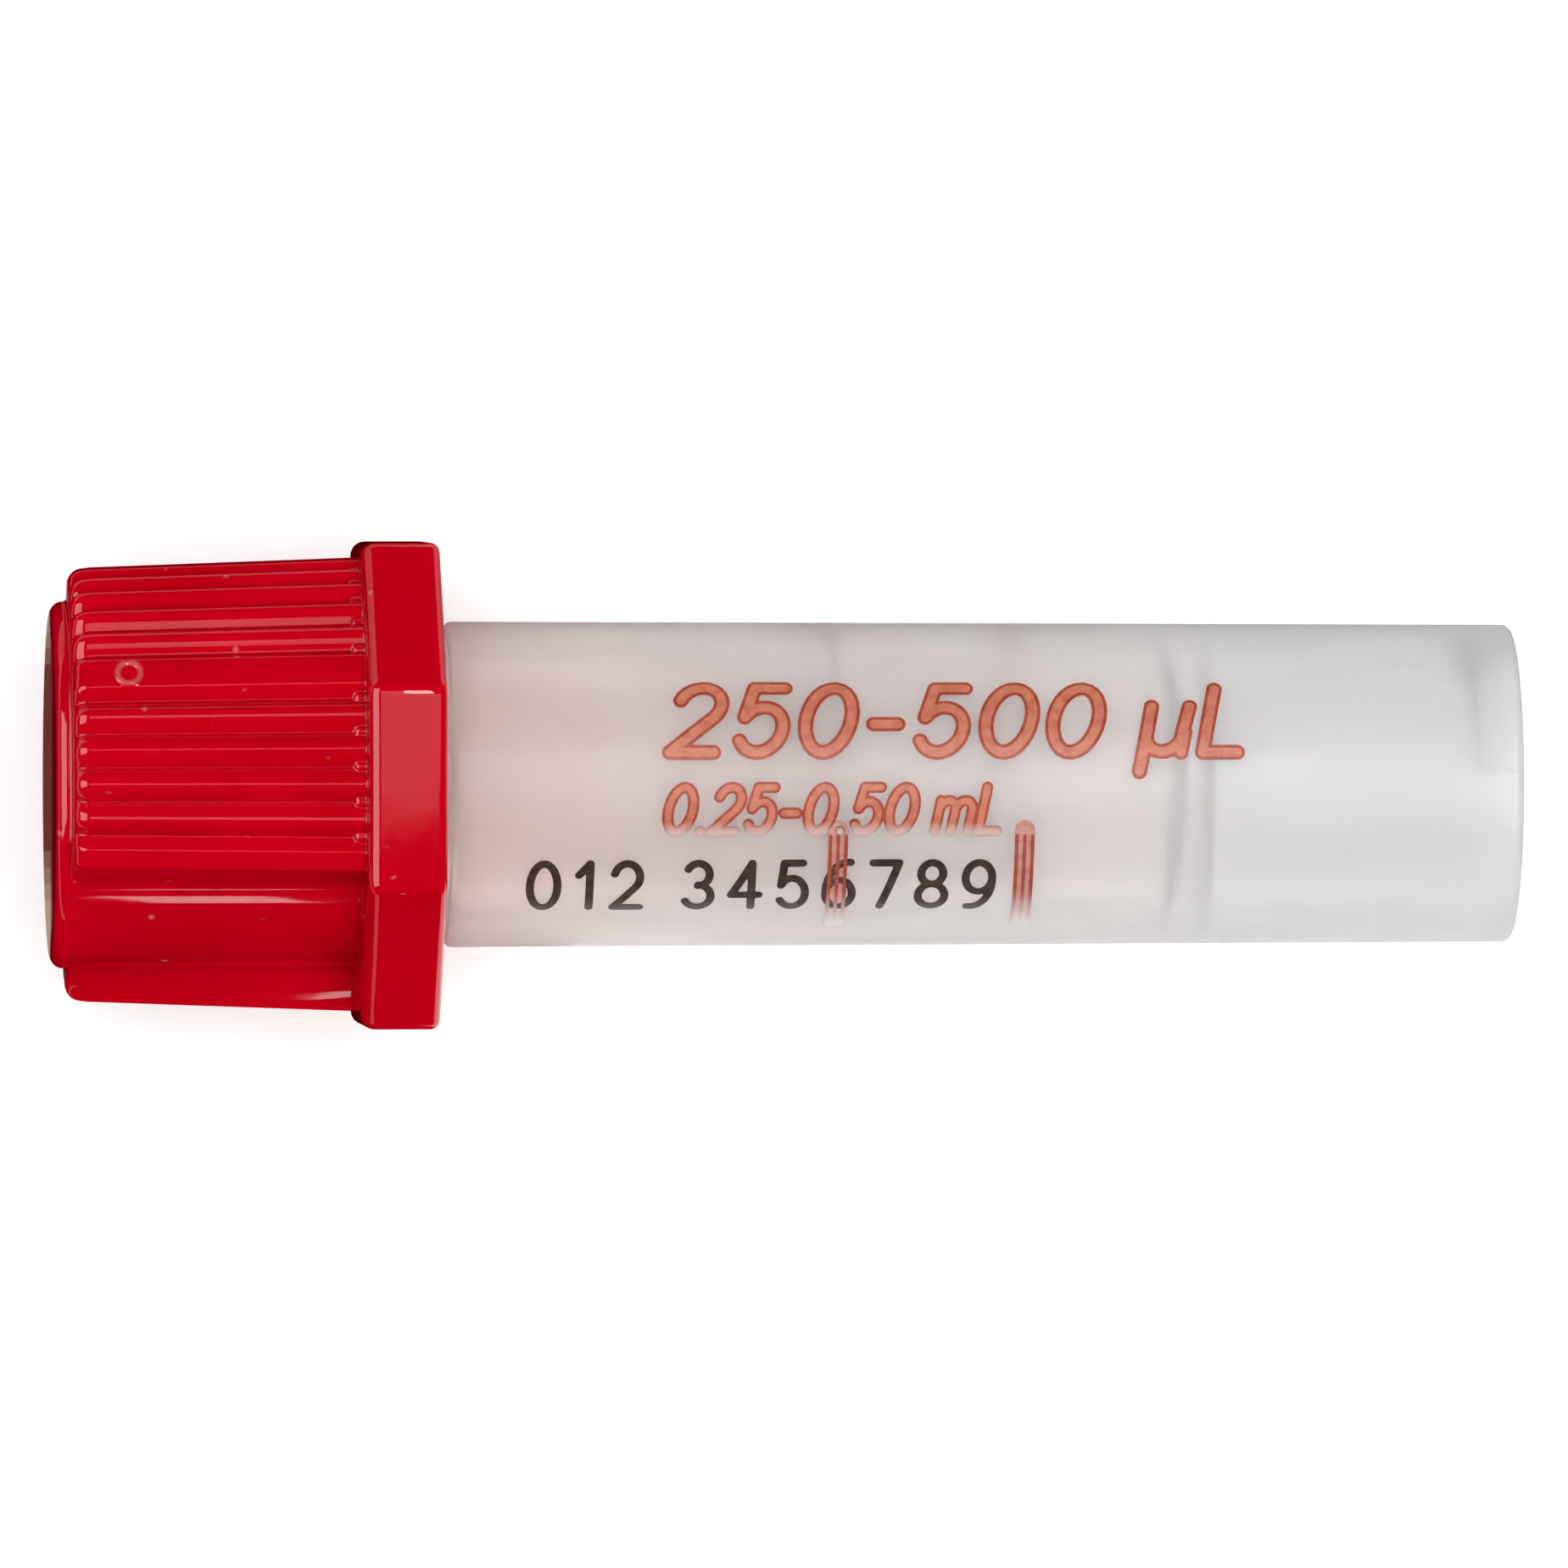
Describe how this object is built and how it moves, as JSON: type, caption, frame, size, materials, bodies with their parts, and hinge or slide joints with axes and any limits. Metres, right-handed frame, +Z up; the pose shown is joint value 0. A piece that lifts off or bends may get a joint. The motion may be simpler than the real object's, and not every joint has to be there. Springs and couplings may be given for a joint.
{
  "type": "capillary blood collection tube",
  "caption": "Small frosted capillary blood collection tube with a dish-bottomed reservoir, hollow skirt and red ribbed push-on closure with an octagonal flange.",
  "frame": {"origin": "middle of the bounding box, on the surface that the tube lies on", "axes": "+X from the closure towards the open end of the skirt, +Z up; the tube lies on one flat of the flange and on its skirt rim, so its axis falls 4.4 degrees towards +X"},
  "size_m": [0.0456, 0.0148, 0.015],
  "materials": {
    "frosted_plastic": "frosted, translucent",
    "red_plastic": "glossy moulded"
  },
  "bodies": {
    "tube": {"tube": "frosted_plastic"},
    "closure": {"closure": "red_plastic"}
  },
  "joints": [
    {"name": "closure_pull", "type": "slide", "parent": "tube", "child": "closure", "axis": [-0.997, 0, 0.0771], "range_m": [0, 0.014]}
  ]
}
